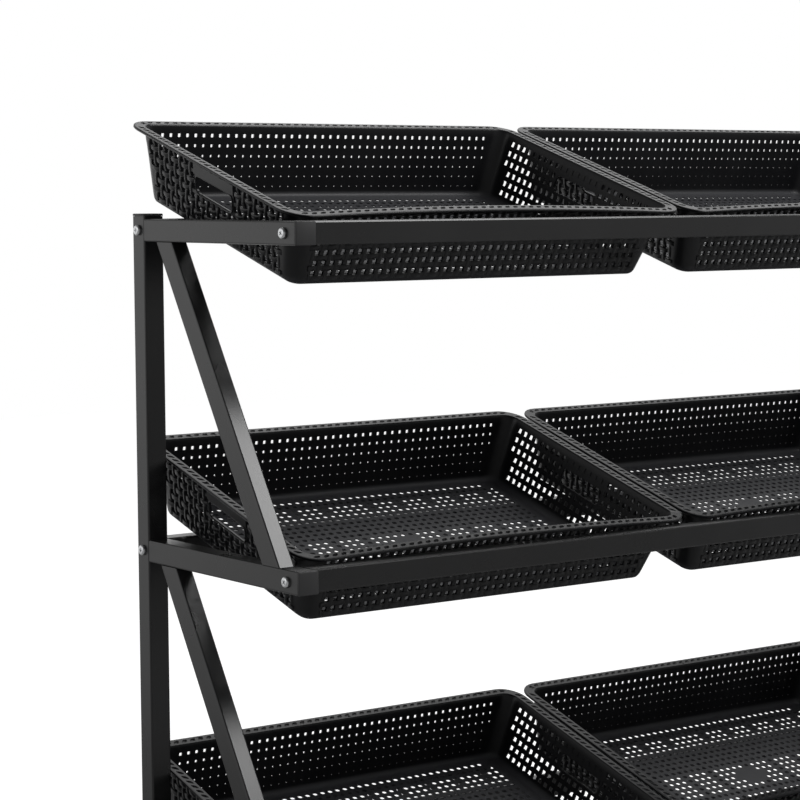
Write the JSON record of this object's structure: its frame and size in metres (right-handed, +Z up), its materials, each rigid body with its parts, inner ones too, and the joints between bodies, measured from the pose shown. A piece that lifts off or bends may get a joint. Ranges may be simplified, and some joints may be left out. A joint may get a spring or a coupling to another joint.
{
  "type": "retail shelving unit",
  "caption": "Free-standing tiered display rack of black square steel tube with tilted, perforated black plastic baskets.",
  "frame": {"origin": "centre of the bounding box at floor level", "axes": "+X to the right along the rails, +Y to the back, +Z up; the baskets tilt towards the shopper at -Y"},
  "size_m": [1.1726, 0.37, 1.0306],
  "materials": {
    "frame_steel": "semi-gloss black powder coat",
    "basket_plastic": "moulded black polypropylene, satin",
    "plug_plastic": "moulded dark plastic",
    "screw_zinc": "bright zinc plating"
  },
  "bodies": {
    "frame": {"arm_bottom_left": "frame_steel", "arm_bottom_right": "frame_steel", "arm_middle_left": "frame_steel", "arm_middle_right": "frame_steel", "arm_plug_bottom_left": "plug_plastic", "arm_plug_bottom_right": "plug_plastic", "arm_plug_middle_left": "plug_plastic", "arm_plug_middle_right": "plug_plastic", "arm_plug_top_left": "plug_plastic", "arm_plug_top_right": "plug_plastic", "arm_top_left": "frame_steel", "arm_top_right": "frame_steel", "brace_bottom_left": "frame_steel", "brace_bottom_right": "frame_steel", "brace_middle_left": "frame_steel", "brace_middle_right": "frame_steel", "front_leg_left": "frame_steel", "front_leg_right": "frame_steel", "glide_front_left": "plug_plastic", "glide_front_right": "plug_plastic", "glide_post_left": "plug_plastic", "glide_post_right": "plug_plastic", "post_left": "frame_steel", "post_plug_left": "plug_plastic", "post_plug_right": "plug_plastic", "post_right": "frame_steel", "rail_front_bottom": "frame_steel", "rail_front_middle": "frame_steel", "rail_front_top": "frame_steel", "rail_rear_bottom": "frame_steel", "rail_rear_middle": "frame_steel", "rail_rear_top": "frame_steel", "screw_front_bottom_left": "screw_zinc", "screw_front_bottom_right": "screw_zinc", "screw_front_middle_left": "screw_zinc", "screw_front_middle_right": "screw_zinc", "screw_front_top_left": "screw_zinc", "screw_front_top_right": "screw_zinc", "screw_rear_bottom_left": "screw_zinc", "screw_rear_bottom_right": "screw_zinc", "screw_rear_middle_left": "screw_zinc", "screw_rear_middle_right": "screw_zinc", "screw_rear_top_left": "screw_zinc", "screw_rear_top_right": "screw_zinc"},
    "basket_bottom_left": {"basket_bottom_left": "basket_plastic"},
    "basket_bottom_right": {"basket_bottom_right": "basket_plastic"},
    "basket_middle_left": {"basket_middle_left": "basket_plastic"},
    "basket_middle_right": {"basket_middle_right": "basket_plastic"},
    "basket_top_left": {"basket_top_left": "basket_plastic"},
    "basket_top_right": {"basket_top_right": "basket_plastic"}
  },
  "joints": [
    {"name": "lift_basket_bottom_left", "type": "slide", "parent": "frame", "child": "basket_bottom_left", "axis": [0, -0.2991, 0.9542], "range_m": [0, 0.12]},
    {"name": "lift_basket_bottom_right", "type": "slide", "parent": "frame", "child": "basket_bottom_right", "axis": [0, -0.2991, 0.9542], "range_m": [0, 0.12]},
    {"name": "lift_basket_middle_left", "type": "slide", "parent": "frame", "child": "basket_middle_left", "axis": [0, -0.2991, 0.9542], "range_m": [0, 0.12]},
    {"name": "lift_basket_middle_right", "type": "slide", "parent": "frame", "child": "basket_middle_right", "axis": [0, -0.2991, 0.9542], "range_m": [0, 0.12]},
    {"name": "lift_basket_top_left", "type": "slide", "parent": "frame", "child": "basket_top_left", "axis": [0, -0.2991, 0.9542], "range_m": [0, 0.12]},
    {"name": "lift_basket_top_right", "type": "slide", "parent": "frame", "child": "basket_top_right", "axis": [0, -0.2991, 0.9542], "range_m": [0, 0.12]}
  ]
}
